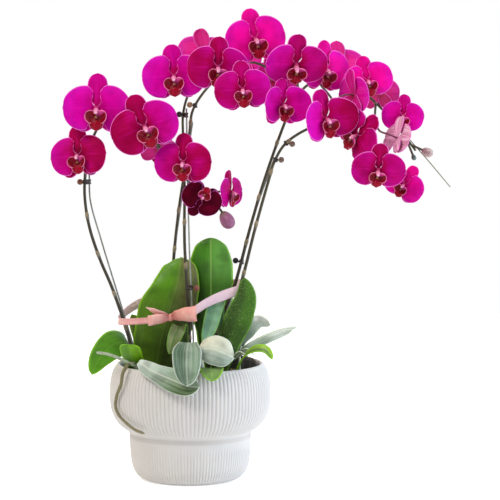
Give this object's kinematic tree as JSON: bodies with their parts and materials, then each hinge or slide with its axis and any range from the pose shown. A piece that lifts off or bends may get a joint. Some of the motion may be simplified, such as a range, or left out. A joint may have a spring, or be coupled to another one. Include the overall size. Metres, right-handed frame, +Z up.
{
  "type": "potted moth orchid",
  "caption": "Moth orchid with arching sprays of magenta blooms on staked stems, broad leaves, aerial roots and a tied ribbon, in a ribbed two-tier pot.",
  "frame": {"origin": "centre of the pot's foot, on the surface it stands on", "axes": "+Z up, -Y the front that the blooms face, +X to the right as seen from the front"},
  "size_m": [0.5573, 0.2504, 0.6585],
  "materials": {
    "petals": "soft satin petal tissue, crimson magenta with a pale edge",
    "flower_stems": "smooth dull green flower stem",
    "stakes": "green coated wire",
    "clips": "dark brown plastic",
    "leaves": "waxy leaf",
    "lime_leaves": "waxy leaf",
    "pale_leaves": "soft pale leaf",
    "glaze": "matt white glaze",
    "liner": "dark matt",
    "growing_medium": "loose bark and moss",
    "ribbon": "satin ribbon",
    "roots": "dull grey green root"
  },
  "bodies": {
    "root": {"aerial_roots": "roots", "bloom_01": "petals", "bloom_02": "petals", "bloom_03": "petals", "bloom_04": "petals", "bloom_05": "petals", "bloom_06": "petals", "bloom_07": "petals", "bloom_08": "petals", "bloom_09": "petals", "bloom_10": "petals", "bloom_11": "petals", "bloom_12": "petals", "bloom_13": "petals", "bloom_14": "petals", "bloom_15": "petals", "bloom_16": "petals", "bloom_17": "petals", "bloom_18": "petals", "bloom_19": "petals", "bloom_20": "petals", "bloom_21": "petals", "bloom_22": "petals", "bloom_23": "petals", "bloom_24": "petals", "bloom_25": "petals", "bloom_26": "petals", "bloom_27": "petals", "clip_left": "clips", "clip_middle": "clips", "clip_right": "clips", "clip_upper": "clips", "growing_medium": "growing_medium", "leaf_front_drooping": "pale_leaves", "leaf_front_green": "lime_leaves", "leaf_front_middle": "pale_leaves", "leaf_front_right": "pale_leaves", "leaf_left_back": "leaves", "leaf_left_broad": "leaves", "leaf_left_outer": "leaves", "leaf_lime_curled": "lime_leaves", "leaf_pale_hanging": "pale_leaves", "leaf_right_drooping": "lime_leaves", "leaf_speckled": "leaves", "leaf_striped_small": "pale_leaves", "leaf_tall": "leaves", "liner": "liner", "pot": "glaze", "ribbon": "ribbon", "silver_sprig": "pale_leaves", "spike_back": "flower_stems", "spike_left": "flower_stems", "spike_middle": "flower_stems", "spike_rightHigh": "flower_stems", "spike_rightLow": "flower_stems", "stake_back": "stakes", "stake_left": "stakes", "stake_middle": "stakes", "stake_right": "stakes"}
  },
  "joints": []
}
